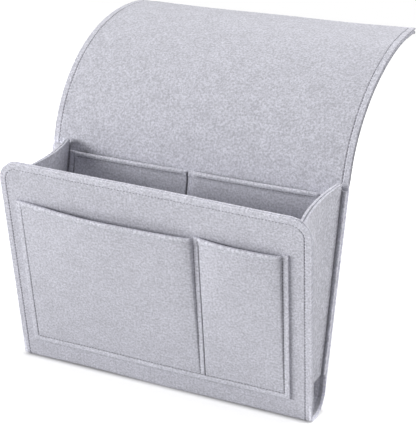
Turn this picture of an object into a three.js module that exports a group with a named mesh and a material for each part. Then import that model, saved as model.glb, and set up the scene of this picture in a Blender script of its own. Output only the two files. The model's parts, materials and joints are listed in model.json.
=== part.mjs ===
import * as THREE from 'three';

// A felt bedside caddy. Sizes are in millimetres, angles in degrees.
// X runs along the bed side, Z is up, and the rear face of the back panel is the plane Y = 0.
// Heights are measured from the folded bottom while the pieces are built; the group is shifted at the end.

// Felt
const width = 320;
const feltThickness = 2.5;
const layerGap = 0.1;

// Box
const boxHeight = 225;
const baseDepth = 36;
const mouthDepth = 110;
const frontLength = 226;
const frontFoldRadius = 9;
const rearFoldRadius = 22;
const panelCornerRadius = 20;
const hingeGap = 0.3;

// Gussets. The left one is sewn further in at the rear and bows further in than the right one.
const gussetSides = {
  left: { side: -1, rearFlangeTop: 13.4, rearFlangeLow: 9, bow: 8.5 },
  right: { side: 1, rearFlangeTop: 6.5, rearFlangeLow: 4, bow: 4 },
};
const frontFlange = 9;
const flangeEdgeInset = 1;
const gussetBendRadius = 6;
const gussetFrontBottom = 28;
const gussetRearBottom = 39;
const gussetSetback = 6;
const gussetRearRise = 3.5;
const flangeTopDrop = 1.6;
const flangeEdgeDrop = 8;

// Pockets
const seamInset = 6.5;
const outerPocketMargin = 18;
const outerPocketBottom = 20;
const outerPocketMouth = 184;
const centreBandWidth = 6;
const centreBandX = 46.5;
const largePocketBulge = 11;
const smallPocketBulge = 8;
const innerPocketMargin = 20;
const innerPocketBottom = 62;
const innerPocketMouthDrop = 8;
const innerPocketBulge = 7;
const bulgeFullness = 0.8;

// Sewing thread
const threadWidth = 0.8;
const threadHeight = 0.4;
const threadClearance = 0.2;
const mouthRowInset = 4.5;
const frontRowStart = 14;

// Flap
const flapLength = 250;
const flapRootRadius = 107;
const flapEndRadius = 370;
const flapLinks = 6;

// Mesh fineness
const cornerSteps = 6;
const foldSteps = 5;
const bendSteps = 4;
const bowSteps = 8;
const pouchColumns = 10;
const pouchRows = 6;
const linkRows = 4;
const rootSteps = 4;
const rootSweep = 80;
const curveStep = 0.5;

const radians = Math.PI / 180;
const half = width / 2;
const layerPitch = feltThickness + layerGap;
const wall = layerPitch + feltThickness;
const lean = Math.asin((mouthDepth - baseDepth) / frontLength);

const outerFelt = new THREE.MeshStandardMaterial({ color: 0xc6c6cd, roughness: 1 });
const liningFelt = new THREE.MeshStandardMaterial({ color: 0xcdcdd4, roughness: 1 });
const sewingThread = new THREE.MeshStandardMaterial({ color: 0xb4b4bb, roughness: 0.8 });

// A closed sheet: face and back give its two sides on a grid of columns and rows.
function sheetGeometry(columns, rows, face, back) {
  const points = [];
  for (const side of [face, back]) {
    for (let j = 0; j <= rows; j += 1) {
      for (let i = 0; i <= columns; i += 1) {
        points.push(side(i, j));
      }
    }
  }
  const stride = columns + 1;
  const layer = stride * (rows + 1);
  const triangles = [];
  const quad = (a, b, c, d) => triangles.push([a, b, c], [a, c, d]);
  for (let j = 0; j < rows; j += 1) {
    for (let i = 0; i < columns; i += 1) {
      const p = j * stride + i;
      quad(p, p + 1, p + 1 + stride, p + stride);
      quad(layer + p, layer + p + stride, layer + p + stride + 1, layer + p + 1);
    }
  }
  for (let i = 0; i < columns; i += 1) {
    const t = rows * stride + i;
    quad(i + 1, i, layer + i, layer + i + 1);
    quad(t, t + 1, layer + t + 1, layer + t);
  }
  for (let j = 0; j < rows; j += 1) {
    const l = j * stride;
    const r = l + columns;
    quad(l, l + stride, layer + l + stride, layer + l);
    quad(r + stride, r, layer + r, layer + r + stride);
  }
  return closedGeometry(points, triangles);
}

// Turns points and triangles into a geometry whose faces point outwards.
function closedGeometry(points, triangles) {
  let volume = 0;
  for (const [a, b, c] of triangles) {
    const [ax, ay, az] = points[a];
    const [bx, by, bz] = points[b];
    const [cx, cy, cz] = points[c];
    volume += ax * (by * cz - bz * cy) + ay * (bz * cx - bx * cz) + az * (bx * cy - by * cx);
  }
  const index = [];
  for (const [a, b, c] of triangles) {
    index.push(...(volume > 0 ? [a, b, c] : [a, c, b]));
  }
  const geometry = new THREE.BufferGeometry();
  geometry.setAttribute('position', new THREE.Float32BufferAttribute(points.flat(), 3));
  geometry.setIndex(index);
  geometry.computeVertexNormals();
  return geometry;
}

const caddy = new THREE.Group();
caddy.name = 'bedside_caddy';

function addPiece(name, geometry, material) {
  const mesh = new THREE.Mesh(geometry, material);
  mesh.name = name;
  caddy.add(mesh);
}

// A point of the front panel: its height up the panel and its depth behind the outer face.
function frontPoint(x, up, depth) {
  const y = depth * Math.cos(lean) - up * Math.sin(lean) - baseDepth;
  const z = up * Math.cos(lean) + depth * Math.sin(lean);
  return [x, y, z];
}

// How far the rounded top corner of the front panel falls below its top edge.
function cornerDrop(x) {
  const run = Math.max(0, Math.abs(x) - (half - panelCornerRadius));
  return panelCornerRadius - Math.sqrt(Math.max(0, panelCornerRadius ** 2 - run ** 2));
}

// Wrap and lining: one run down the front panel, round both folds and up the back panel.
function wrapStations() {
  const stations = [];
  for (let k = 0; k <= cornerSteps; k += 1) {
    const angle = 90 * radians * (1 - k / cornerSteps);
    const up = frontLength - panelCornerRadius * (1 - Math.sin(angle));
    const reach = half - panelCornerRadius * (1 - Math.cos(angle));
    stations.push((side, depth) => frontPoint(side * reach, up, depth));
  }
  const tangent = frontFoldRadius * (1 - Math.sin(lean)) / Math.cos(lean);
  const arc = (centreY, radius, from, to) => {
    for (let k = 0; k <= foldSteps; k += 1) {
      const angle = from + (to - from) * k / foldSteps;
      stations.push((side, depth) => {
        const r = radius - depth;
        return [side * half, centreY + r * Math.cos(angle), radius + r * Math.sin(angle)];
      });
    }
  };
  arc(tangent - baseDepth, frontFoldRadius, Math.PI + lean, 1.5 * Math.PI);
  arc(-rearFoldRadius, rearFoldRadius, 1.5 * Math.PI, 2 * Math.PI);
  stations.push((side, depth) => [side * half, -depth, boxHeight - wall / 2 - hingeGap]);
  return stations;
}

function addWrapLayer(name, depth, material) {
  const stations = wrapStations();
  const side = (deep) => (i, j) => stations[j](2 * i - 1, deep);
  addPiece(name, sheetGeometry(1, stations.length - 1, side(depth), side(depth + feltThickness)), material);
}

addWrapLayer('outer_wrap', 0, outerFelt);
addWrapLayer('box_lining', layerPitch, liningFelt);

// Gussets: a side wall that bows inwards, with edges that turn outwards and lie against the panels.
const panelClearance = wall + layerGap;
const wallClearance = panelClearance + gussetBendRadius;
const flangeEdgeX = half - flangeEdgeInset;
const frontFlangeX = half - frontFlange;
const between = THREE.MathUtils.lerp;

function frontDepthY(z, depth) {
  return depth / Math.cos(lean) - z * Math.tan(lean) - baseDepth;
}

function frontFlangeTop(x) {
  return (frontLength - cornerDrop(x) - gussetSetback) * Math.cos(lean);
}

// The depth of the box between the two bends at one height.
function wallRun(z) {
  return -wallClearance - frontDepthY(z, wallClearance);
}

// Upright lines of one gusset face, from the edge at the front panel to the edge at the back panel.
function gussetColumns({ rearFlangeTop, rearFlangeLow, bow }, offset) {
  const bend = gussetBendRadius - offset;
  const turns = [];
  for (let k = 0; k <= bendSteps; k += 1) {
    const angle = 90 * radians * k / bendSteps;
    turns.push({ inset: bend * Math.sin(angle), depth: wallClearance - bend * Math.cos(angle), turn: k / bendSteps });
  }
  const flangeDepth = panelClearance + offset;
  const rearFlangeX = (z) => {
    const rise = (z - gussetRearBottom) / (boxHeight - gussetRearBottom);
    return half - between(rearFlangeLow, rearFlangeTop, rise);
  };
  const frontWallX = frontFlangeX - bend;
  const frontTop = frontFlangeTop(frontWallX);
  const rearTop = boxHeight + gussetRearRise;
  const flangeTop = boxHeight - flangeTopDrop;

  const front = turns.map(({ inset, depth }) => {
    const x = frontFlangeX - inset;
    return { bottom: gussetFrontBottom, top: frontFlangeTop(x), at: (z) => [x, frontDepthY(z, depth)] };
  });
  const wallColumns = [];
  for (let k = 1; k < bowSteps; k += 1) {
    const share = k / bowSteps;
    const sag = bow * 4 * share * (1 - share) / wallRun(frontTop);
    const at = (z) => {
      const x = between(frontWallX, rearFlangeX(z) - bend, share) - sag * wallRun(z);
      return [x, between(frontDepthY(z, wallClearance), -wallClearance, share)];
    };
    const bottom = between(gussetFrontBottom, gussetRearBottom, share);
    wallColumns.push({ bottom, top: between(frontTop, rearTop, share), at });
  }
  const rear = turns.reverse().map(({ inset, depth, turn }) => {
    const at = (z) => [rearFlangeX(z) - inset, -depth];
    return { bottom: gussetRearBottom, top: between(flangeTop, rearTop, turn), at };
  });
  const frontEdge = {
    bottom: gussetFrontBottom,
    top: frontFlangeTop(flangeEdgeX),
    at: (z) => [flangeEdgeX, frontDepthY(z, flangeDepth)],
  };
  const rearEdge = {
    bottom: gussetRearBottom,
    top: boxHeight - flangeEdgeDrop,
    at: () => [flangeEdgeX, -flangeDepth],
  };
  return [frontEdge, ...front, ...wallColumns, ...rear, rearEdge];
}

function addGussetLayer(name, form, offset, material) {
  const surface = (columns) => (i, j) => {
    const { bottom, top, at } = columns[i];
    const z = j === 0 ? bottom : top;
    const [x, y] = at(z);
    return [form.side * x, y, z];
  };
  const near = gussetColumns(form, offset);
  const far = gussetColumns(form, offset + feltThickness);
  addPiece(name, sheetGeometry(near.length - 1, 1, surface(near), surface(far)), material);
}

for (const [label, form] of Object.entries(gussetSides)) {
  addGussetLayer(`${label}_gusset_lining`, form, 0, liningFelt);
  addGussetLayer(`${label}_gusset_outer`, form, layerPitch, outerFelt);
}

// Pockets: a strip sewn flat at its rims and centre band, slack between them and open at the top.
function pocketStrip({ margin, bottom, mouth, bandX, bulges, place }) {
  const outer = half - margin;
  const seam = outer - seamInset;
  const bandLeft = bandX - centreBandWidth / 2;
  const bandRight = bandX + centreBandWidth / 2;
  const pouches = [[-seam, bandLeft, bulges[0]], [bandRight, seam, bulges[1]]];
  const seamUp = bottom + seamInset;
  const slack = (x, up) => {
    const rise = Math.min(1, Math.max(0, (up - seamUp) / (mouth - seamUp)));
    for (const [from, to, depth] of pouches) {
      if (x > from && x < to) {
        const across = Math.sin(Math.PI * (x - from) / (to - from)) ** bulgeFullness;
        return depth * across * Math.sin(Math.PI / 2 * rise);
      }
    }
    return 0;
  };
  const pouchXs = pouches.map(([from, to]) => {
    const xs = [];
    for (let k = 0; k <= pouchColumns; k += 1) {
      xs.push(from + (to - from) * k / pouchColumns);
    }
    return xs;
  });
  const ups = [bottom];
  for (let k = 0; k <= pouchRows; k += 1) {
    ups.push(seamUp + (mouth - seamUp) * k / pouchRows);
  }
  const xs = [-outer, ...pouchXs[0], ...pouchXs[1], outer];
  const side = (lift) => (i, j) => place(xs[i], ups[j], lift + slack(xs[i], ups[j]));
  const geometry = sheetGeometry(xs.length - 1, ups.length - 1, side(layerGap), side(layerPitch));
  const lift = (x, up) => layerPitch + slack(x, up);
  return { geometry, lift, place, seam, seamUp, bandLeft, bandRight, mouth, pouchXs };
}

// A row of sewing thread along a path on a panel or pocket.
function threadGeometry(place, lift, path) {
  const along = path.map((_, k) => {
    const before = path[Math.max(0, k - 1)];
    const after = path[Math.min(path.length - 1, k + 1)];
    const run = [after[0] - before[0], after[1] - before[1]];
    const length = Math.hypot(...run);
    return [run[0] / length, run[1] / length];
  });
  const surface = (height) => (i, j) => {
    const [x, up] = path[j];
    const shift = (i - 0.5) * threadWidth;
    const base = lift(x, up) + threadClearance + height;
    return place(x - along[j][1] * shift, up + along[j][0] * shift, base);
  };
  return sheetGeometry(1, path.length - 1, surface(threadHeight), surface(0));
}

const onFront = (x, up, lift) => frontPoint(x, up, -lift);
const onBack = (x, up, lift) => [x, -wall - lift, up];

const outerPocket = pocketStrip({
  margin: outerPocketMargin,
  bottom: outerPocketBottom,
  mouth: outerPocketMouth,
  bandX: centreBandX,
  bulges: [largePocketBulge, smallPocketBulge],
  place: onFront,
});
const innerPocket = pocketStrip({
  margin: innerPocketMargin,
  bottom: innerPocketBottom,
  mouth: boxHeight - innerPocketMouthDrop,
  bandX: 0,
  bulges: [innerPocketBulge, innerPocketBulge],
  place: onBack,
});
addPiece('outer_pocket', outerPocket.geometry, outerFelt);
addPiece('inner_pocket', innerPocket.geometry, liningFelt);

function addPocketRows(prefix, pocket, mouthNames) {
  const { place, lift, seam, seamUp, bandLeft, bandRight, mouth, pouchXs } = pocket;
  const rowTop = mouth - seamInset;
  const addRow = (name, path) => addPiece(name, threadGeometry(place, lift, path), sewingThread);
  addRow(`${prefix}_left_thread`, [[-seam - threadWidth, seamUp], [-seam - threadWidth, rowTop]]);
  addRow(`${prefix}_right_thread`, [[seam + threadWidth, seamUp], [seam + threadWidth, rowTop]]);
  addRow(`${prefix}_bottom_thread`, [[-seam, seamUp - threadWidth], [seam, seamUp - threadWidth]]);
  addRow(`${prefix}_band_left_thread`, [[bandLeft + threadWidth, seamUp], [bandLeft + threadWidth, rowTop]]);
  addRow(`${prefix}_band_right_thread`, [[bandRight - threadWidth, seamUp], [bandRight - threadWidth, rowTop]]);
  mouthNames.forEach((name, k) => {
    addRow(name, pouchXs[k].slice(1, -1).map((x) => [x, mouth - mouthRowInset]));
  });
}

addPocketRows('outer_pocket', outerPocket, ['large_mouth_thread', 'small_mouth_thread']);
addPocketRows('inner_pocket', innerPocket, ['inner_left_mouth_thread', 'inner_right_mouth_thread']);

// Front rim row: up one side, round both top corners and down the other side.
function frontRimPath() {
  const rowRadius = panelCornerRadius - seamInset;
  const centreX = half - panelCornerRadius;
  const centreUp = frontLength - panelCornerRadius;
  const path = [[seamInset - half, frontRowStart]];
  for (const side of [-1, 1]) {
    for (let k = 0; k <= cornerSteps; k += 1) {
      const turn = 90 * radians * (side < 0 ? k : cornerSteps - k) / cornerSteps;
      const x = side * (centreX + rowRadius * Math.cos(turn));
      path.push([x, centreUp + rowRadius * Math.sin(turn)]);
    }
  }
  path.push([half - seamInset, frontRowStart]);
  return path;
}

addPiece('front_rim_thread', threadGeometry(onFront, () => 0, frontRimPath()), sewingThread);

// Flap: it leaves the crease upright and curves backwards, with a bend that eases off towards its end.
const creaseY = -wall / 2;
const rootBend = 1 / flapRootRadius;
const endBend = 1 / flapEndRadius;

function flapAngle(s) {
  return Math.PI / 2 - rootBend * s - (endBend - rootBend) * s * s / (2 * flapLength);
}

// A point of the flap's cross-section: distance along the flap and height above its middle surface.
function flapPoint(s, height) {
  const steps = Math.max(1, Math.ceil(s / curveStep));
  let y = creaseY;
  let z = boxHeight;
  for (let k = 0; k < steps; k += 1) {
    const angle = flapAngle((k + 0.5) * s / steps);
    y += Math.cos(angle) * s / steps;
    z += Math.sin(angle) * s / steps;
  }
  const angle = flapAngle(s);
  return [y - Math.sin(angle) * height, z + Math.cos(angle) * height];
}

// The rounded lower end of the first link turns about the crease line.
function rootPoint(step, height) {
  const reach = wall / 2;
  const drop = rootSweep * radians * (1 - step / rootSteps);
  const room = Math.abs(height) < reach ? Math.abs(height) : reach * Math.cos(drop);
  return [creaseY - Math.sign(height) * room, boxHeight - reach * Math.sin(drop)];
}

function addFlapLayer(name, link, low, high, material) {
  const pitch = flapLength / flapLinks;
  const from = link * pitch + (link > 0 ? hingeGap / 2 : 0);
  const to = (link + 1) * pitch - (link < flapLinks - 1 ? hingeGap / 2 : 0);
  const stations = [];
  if (link === 0) {
    for (let k = 0; k < rootSteps; k += 1) {
      stations.push((height) => rootPoint(k, height));
    }
  }
  for (let k = 0; k <= linkRows; k += 1) {
    const s = from + (to - from) * k / linkRows;
    stations.push((height) => flapPoint(s, height));
  }
  const side = (height) => (i, j) => [(2 * i - 1) * half, ...stations[j](height)];
  addPiece(name, sheetGeometry(1, stations.length - 1, side(high), side(low)), material);
}

for (let link = 0; link < flapLinks; link += 1) {
  addFlapLayer(`flap_top_${link + 1}`, link, layerGap / 2, wall / 2, liningFelt);
  addFlapLayer(`flap_under_${link + 1}`, link, -wall / 2, -layerGap / 2, outerFelt);
}

// The origin is the middle of the flat rear face of the back panel.
caddy.position.z = -(rearFoldRadius + boxHeight - wall / 2 - hingeGap) / 2;

export default caddy;
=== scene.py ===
# %% [markdown]
# # A bedside caddy of pressed felt
# The caddy is one long double strip of grey felt. It starts at the top of the front panel, runs down,
# turns under the bottom, climbs the back and ends as the flap that is tucked under a mattress. Two
# folded gussets close its sides, and two pocket strips are sewn on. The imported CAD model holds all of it
# as thin plain solids with their joints. Here each layer of felt is cut, folded, thickened and sewn again
# as a soft sheet in the same place, so the solids only serve as the frame to measure from.

# %% Load the CAD frame
import json
import math

import bpy
import numpy as np
from mathutils import Matrix, Vector, noise


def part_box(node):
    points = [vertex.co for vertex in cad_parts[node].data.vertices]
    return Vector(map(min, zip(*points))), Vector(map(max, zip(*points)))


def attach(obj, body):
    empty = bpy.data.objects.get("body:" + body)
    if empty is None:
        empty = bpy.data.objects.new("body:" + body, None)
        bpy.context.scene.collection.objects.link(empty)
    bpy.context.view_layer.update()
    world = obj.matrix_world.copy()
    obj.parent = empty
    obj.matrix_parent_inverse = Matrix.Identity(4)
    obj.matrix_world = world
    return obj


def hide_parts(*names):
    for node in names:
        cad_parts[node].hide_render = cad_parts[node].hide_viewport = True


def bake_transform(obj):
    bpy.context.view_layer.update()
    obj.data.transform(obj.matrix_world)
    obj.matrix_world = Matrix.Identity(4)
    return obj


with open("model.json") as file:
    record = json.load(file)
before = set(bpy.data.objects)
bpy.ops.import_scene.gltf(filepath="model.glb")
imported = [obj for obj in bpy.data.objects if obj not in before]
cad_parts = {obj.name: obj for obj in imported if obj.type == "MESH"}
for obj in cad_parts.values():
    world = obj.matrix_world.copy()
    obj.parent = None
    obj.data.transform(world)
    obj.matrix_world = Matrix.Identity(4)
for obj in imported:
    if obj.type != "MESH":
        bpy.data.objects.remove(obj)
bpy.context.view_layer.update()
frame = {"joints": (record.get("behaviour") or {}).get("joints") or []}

# %% [markdown]
# ## The strip's side view
# Every sheet follows one line, seen from the side: the outer face of the strip. A point of the felt is
# given by x, by t (how far along the strip it lies, from the front panel's top edge to the flap's free
# end) and by its depth under the outer face. A maker would draw the same line on the cutting table.
# Arcs join the straight stretches, and the flap's bend eases off towards its end, so its line is summed
# up in small steps.

# %% Sizes of the strip
MM = 0.001
FELT = 2.5 * MM
LAYER = 2.6 * MM
WALL = LAYER + FELT
BASE_DEPTH = 36 * MM
MOUTH_DEPTH = 110 * MM
FRONT_LENGTH = 226 * MM
FRONT_FOLD = 5 * MM
REAR_FOLD = 22 * MM
CORNER = 20 * MM
END_CORNER = 2 * MM
FLAP_LENGTH = 250 * MM
FLAP_ROOT_RADIUS = 107 * MM
FLAP_END_RADIUS = 370 * MM
FLAP_LINKS = 6

wrap_low, wrap_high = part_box("outer_wrap")
HALF = wrap_high.x
FLOOR_Z = wrap_low.z
crease = next(j for j in frame["joints"] if j["name"] == "flap_fold")["pos_m"]
CREASE_HEIGHT = crease[2] - FLOOR_Z
LEAN = math.asin((MOUTH_DEPTH - BASE_DEPTH) / FRONT_LENGTH)
FOLD_TANGENT = FRONT_FOLD * (1 - math.sin(LEAN)) / math.cos(LEAN)
LINK = FLAP_LENGTH / FLAP_LINKS

stretches = [
    FRONT_LENGTH - FOLD_TANGENT,
    FRONT_FOLD * (math.pi / 2 - LEAN),
    BASE_DEPTH - FOLD_TANGENT - REAR_FOLD,
    REAR_FOLD * math.pi / 2,
    CREASE_HEIGHT - REAR_FOLD,
    FLAP_LENGTH,
]
FRONT_END, BOTTOM_START, BOTTOM_END, BACK_START, CREASE_T, STRIP_END = np.cumsum(stretches)
print("strip length, mm:", round(STRIP_END / MM, 1), "crease at", round(CREASE_T / MM, 1))

# %% The flap's curve
flap_steps = np.linspace(0, FLAP_LENGTH, 601)


def flap_turn(s):
    """The angle at which the flap runs, from straight up at the crease."""
    easing = (1 / FLAP_END_RADIUS - 1 / FLAP_ROOT_RADIUS) / (2 * FLAP_LENGTH)
    return math.pi / 2 - s / FLAP_ROOT_RADIUS - easing * s * s


half_steps = (flap_steps[1:] + flap_steps[:-1]) / 2
step = flap_steps[1]
flap_ys = crease[1] + np.concatenate([[0], np.cumsum(np.cos(flap_turn(half_steps)) * step)])
flap_zs = CREASE_HEIGHT + np.concatenate([[0], np.cumsum(np.sin(flap_turn(half_steps)) * step)])
print("flap's free end, mm:", round(flap_ys[-1] / MM, 1), round(flap_zs[-1] / MM, 1))


# %% The line of the outer face
def strip_line(t):
    """The outer face at t: its y and height, and the direction in which the felt gets deeper."""
    up = FRONT_LENGTH - t
    front_turn = math.pi + LEAN + (t - FRONT_END) / FRONT_FOLD
    rear_turn = 1.5 * math.pi + (t - BOTTOM_END) / REAR_FOLD
    s = t - CREASE_T
    turn = flap_turn(s)
    stretch = [t < FRONT_END, t < BOTTOM_START, t < BOTTOM_END, t < BACK_START, t < CREASE_T]
    zero = np.zeros_like(t)
    deeper_y = np.select(
        stretch,
        [zero + math.cos(LEAN), -np.cos(front_turn), zero, -np.cos(rear_turn), zero - 1],
        -np.sin(turn),
    )
    deeper_z = np.select(
        stretch,
        [zero + math.sin(LEAN), -np.sin(front_turn), zero + 1, -np.sin(rear_turn), zero],
        np.cos(turn),
    )
    fold_y = FOLD_TANGENT - BASE_DEPTH
    y = np.select(
        stretch,
        [
            -BASE_DEPTH - up * math.sin(LEAN),
            fold_y + FRONT_FOLD * np.cos(front_turn),
            fold_y + t - BOTTOM_START,
            REAR_FOLD * (np.cos(rear_turn) - 1),
            zero,
        ],
        np.interp(s, flap_steps, flap_ys) - deeper_y * WALL / 2,
    )
    height = np.select(
        stretch,
        [
            up * math.cos(LEAN),
            FRONT_FOLD * (1 + np.sin(front_turn)),
            zero,
            REAR_FOLD * (1 + np.sin(rear_turn)),
            t - BACK_START + REAR_FOLD,
        ],
        np.interp(s, flap_steps, flap_zs) - deeper_z * WALL / 2,
    )
    return y, height, deeper_y, deeper_z


ends = strip_line(np.array([0.0, STRIP_END]))
print("heights of the strip's two ends, mm:", (ends[1] / MM).round(1))

# %% How sewn felt departs from that line
RIPPLE = 0.35 * MM
FRONT_SQUEEZE = 0.3
BACK_SQUEEZE = 0.13
PRESSED_RIM = 2 * MM
PRESSED_EASE = 8 * MM
BACK_EASE = 20 * MM
FLAP_EASE = 30 * MM
ROLL = 1.3 * MM
ROLL_ABOVE = 2 * MM
ROLL_REACH = 3.5 * MM
ROLL_LENGTH = 12 * MM
ROLL_EASE = 6 * MM
FRONT_TILT = 0.021


def ripple(x, t):
    """Felt never hangs quite flat: a slow wave that dies out towards the sewn edges."""
    wave = np.sin(31 * x + 17 * t + 1.0) + 0.7 * np.sin(43 * t - 19 * x + 2.3)
    return RIPPLE * wave * (1 - (x / HALF) ** 2)


def smooth(share):
    """Eases from 0 to 1 while share does so evenly."""
    share = np.clip(share, 0, 1)
    return share * share * (3 - 2 * share)


def pressed(x, squeeze):
    """Along the sewn side edges the felt is squeezed to less than its thickness."""
    return 1 - squeeze * (1 - smooth((HALF - np.abs(x) - PRESSED_RIM) / PRESSED_EASE))


def strip_squeeze(t):
    """The front panel's sides are pressed most, the back's less and the flap's not at all."""
    to_back = smooth((t - FRONT_END) / BACK_EASE)
    to_flap = smooth((t - CREASE_T) / FLAP_EASE)
    return FRONT_SQUEEZE + (BACK_SQUEEZE - FRONT_SQUEEZE) * to_back - BACK_SQUEEZE * to_flap


def crease_roll(x, t):
    """At both ends of the crease the felt bunches up into a small roll."""
    above = (t - CREASE_T - ROLL_ABOVE) / ROLL_REACH
    at_end = smooth((np.abs(x) - HALF + ROLL_LENGTH) / ROLL_EASE)
    return ROLL * np.exp(-(above**2)) * at_end


def front_slide(x, t):
    """The front panel hangs a little lower on the right, more so towards its top edge."""
    return FRONT_TILT * x * np.clip(1 - t / FRONT_END, 0, None) ** 2


top_corners = front_slide(np.array([-HALF, HALF]), np.zeros(2))
print("front panel's top corners hang lower by, mm:", (top_corners / MM).round(1))

# %% A point of the strip
FLAP_WIDER = 3.2 * MM
CORNER_LIFT = 3.2 * MM


def strip_point(x, t, depth):
    """Where a point of the strip lies. The flap's right side spreads, and its end corner lifts."""
    y, height, deeper_y, deeper_z = strip_line(t + front_slide(x, t))
    down = depth * pressed(x, strip_squeeze(t)) + ripple(x, t) + crease_roll(x, t)
    along_flap = np.clip((t - CREASE_T) / FLAP_LENGTH, 0, 1)
    to_right = np.clip(x / HALF, 0, 1) ** 2
    spread = smooth(1.7 * along_flap - 0.2) - 0.3 * smooth(8 * along_flap - 7)
    wider = FLAP_WIDER * spread * to_right
    lifted = CORNER_LIFT * along_flap**3 * to_right
    z = FLOOR_Z + height + deeper_z * down + lifted
    return np.stack([x + wider, y + deeper_y * down, z], axis=1)


corner_check = strip_point(np.array([0.0]), np.array([CREASE_T]), np.array([WALL / 2]))[0]
print("middle of the crease", corner_check.round(4), "CAD hinge", [round(v, 4) for v in crease])

# %% [markdown]
# ## Grey felt and its thread
# Pressed felt is matte and slightly fuzzy. Up close its grey is mottled like orange peel, because the
# fibres clump every few millimetres. One noise would look like static, so five are multiplied: broad
# clouds, patches, clumps of two to three millimetres, single fibres and a scatter of dark specks. Clumps
# and fibres also raise a fine bump. The noises read a stored attribute, the place in the flat cut sheet,
# so the pattern bends with the felt like a real one. A second attribute holds painted light and shade:
# painted highlights make edges paler and painted shade makes crevices darker. A little sheen stands for
# the loose fibres that catch light at a grazing angle.

# %% Nodes that the finishes share
NOISE_SPAN = (0.36, 0.64)


def new_finish(name):
    finish = bpy.data.materials.new(name)
    finish.use_nodes = True
    nodes = finish.node_tree.nodes
    return finish, nodes, finish.node_tree.links, nodes["Principled BSDF"]


def noise_at(nodes, links, place, scale, detail, roughness):
    texture = nodes.new("ShaderNodeTexNoise")
    texture.inputs["Scale"].default_value = scale
    texture.inputs["Detail"].default_value = detail
    texture.inputs["Roughness"].default_value = roughness
    links.new(place, texture.inputs["Vector"])
    return texture.outputs["Fac"]


def mixed(nodes, links, share, low, high, span=NOISE_SPAN):
    """A colour between low and high, as the noise goes from its dark to its light clumps."""
    ramp = nodes.new("ShaderNodeValToRGB")
    ramp.color_ramp.elements[0].position, ramp.color_ramp.elements[1].position = span
    ramp.color_ramp.elements[0].color = (*low, 1)
    ramp.color_ramp.elements[1].color = (*high, 1)
    links.new(share, ramp.inputs["Fac"])
    return ramp.outputs["Color"]


def tinted(nodes, links, base, shade):
    """The base colour, darkened by a second noise."""
    product = nodes.new("ShaderNodeMix")
    product.data_type = "RGBA"
    product.blend_type = "MULTIPLY"
    product.inputs["Factor"].default_value = 1.0
    links.new(base, product.inputs["A"])
    links.new(shade, product.inputs["B"])
    return product.outputs["Result"]


def raised(nodes, links, height, strength, distance, under=None):
    """A fine relief that follows a noise, laid over another relief if one is given."""
    bump = nodes.new("ShaderNodeBump")
    bump.inputs["Strength"].default_value = strength
    bump.inputs["Distance"].default_value = distance
    links.new(height, bump.inputs["Height"])
    if under is not None:
        links.new(under, bump.inputs["Normal"])
    return bump.outputs["Normal"]


print("a noise counts from dark to light over", NOISE_SPAN)

# %% Felt and thread finishes
# How strongly one unit of painted highlight or painted shade lightens or darkens the felt's colour.
PAINTED_LIGHT_CONTRAST = 0.22
FELT_DARK = (0.54, 0.54, 0.605)
FELT_LIGHT = (0.84, 0.84, 0.925)
THREAD_DARK = (0.14, 0.14, 0.16)
THREAD_LIGHT = (0.25, 0.25, 0.28)
WHITE = (1, 1, 1)


def apply_painted_light(nodes, links, colour):
    """Painted highlights make edges and sewn strips paler; painted shade darkens cut ends in a crevice."""
    worn = nodes.new("ShaderNodeAttribute")
    worn.attribute_name = "worn"
    change = nodes.new("ShaderNodeMath")
    change.operation = "MULTIPLY_ADD"
    change.inputs[1].default_value = PAINTED_LIGHT_CONTRAST
    change.inputs[2].default_value = 1.0
    links.new(worn.outputs["Fac"], change.inputs[0])
    scaled = nodes.new("ShaderNodeVectorMath")
    scaled.operation = "SCALE"
    links.new(colour, scaled.inputs[0])
    links.new(change.outputs["Value"], scaled.inputs["Scale"])
    return scaled.outputs["Vector"]


def felt_finish(name):
    """Mottled grey felt, from five noises of different scale."""
    finish, nodes, links, shader = new_finish(name)
    flat = nodes.new("ShaderNodeAttribute")
    flat.attribute_name = "flat"
    place = flat.outputs["Vector"]
    clouds = noise_at(nodes, links, place, 48, 2, 0.5)
    patches = noise_at(nodes, links, place, 140, 2, 0.5)
    clumps = noise_at(nodes, links, place, 480, 3, 0.65)
    fibres = noise_at(nodes, links, place, 1500, 2, 0.6)
    specks = noise_at(nodes, links, place, 760, 1, 0.5)
    colour = mixed(nodes, links, clumps, FELT_DARK, FELT_LIGHT)
    for share, dark in ((clouds, 0.94), (patches, 0.94), (fibres, 0.82)):
        colour = tinted(nodes, links, colour, mixed(nodes, links, share, (dark,) * 3, WHITE))
    dark_specks = mixed(nodes, links, specks, WHITE, (0.8,) * 3, span=(0.6, 0.72))
    colour = tinted(nodes, links, colour, dark_specks)
    # The base colour gets the stored painted highlights and painted shade.
    links.new(apply_painted_light(nodes, links, colour), shader.inputs["Base Color"])
    shader.inputs["Roughness"].default_value = 0.95
    shader.inputs["Specular IOR Level"].default_value = 0.15
    shader.inputs["Sheen Weight"].default_value = 0.18
    shader.inputs["Sheen Roughness"].default_value = 0.6
    lumps = raised(nodes, links, clumps, strength=0.35, distance=0.5 * MM)
    fuzz = raised(nodes, links, fibres, strength=0.35, distance=0.2 * MM, under=lumps)
    links.new(fuzz, shader.inputs["Normal"])
    return finish


def thread_finish(name):
    """Darker grey thread, whose plies show as a fine noise."""
    finish, nodes, links, shader = new_finish(name)
    place = nodes.new("ShaderNodeTexCoord").outputs["Object"]
    ply = noise_at(nodes, links, place, 2600, 2, 0.5)
    links.new(mixed(nodes, links, ply, THREAD_DARK, THREAD_LIGHT), shader.inputs["Base Color"])
    shader.inputs["Roughness"].default_value = 0.7
    twist = raised(nodes, links, ply, strength=0.4, distance=0.1 * MM)
    links.new(twist, shader.inputs["Normal"])
    return finish


outer_felt = felt_finish("outer_felt")
lining_felt = felt_finish("lining_felt")
thread_grey = thread_finish("thread")
print("finishes:", [m.name for m in (outer_felt, lining_felt, thread_grey)])
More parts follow.
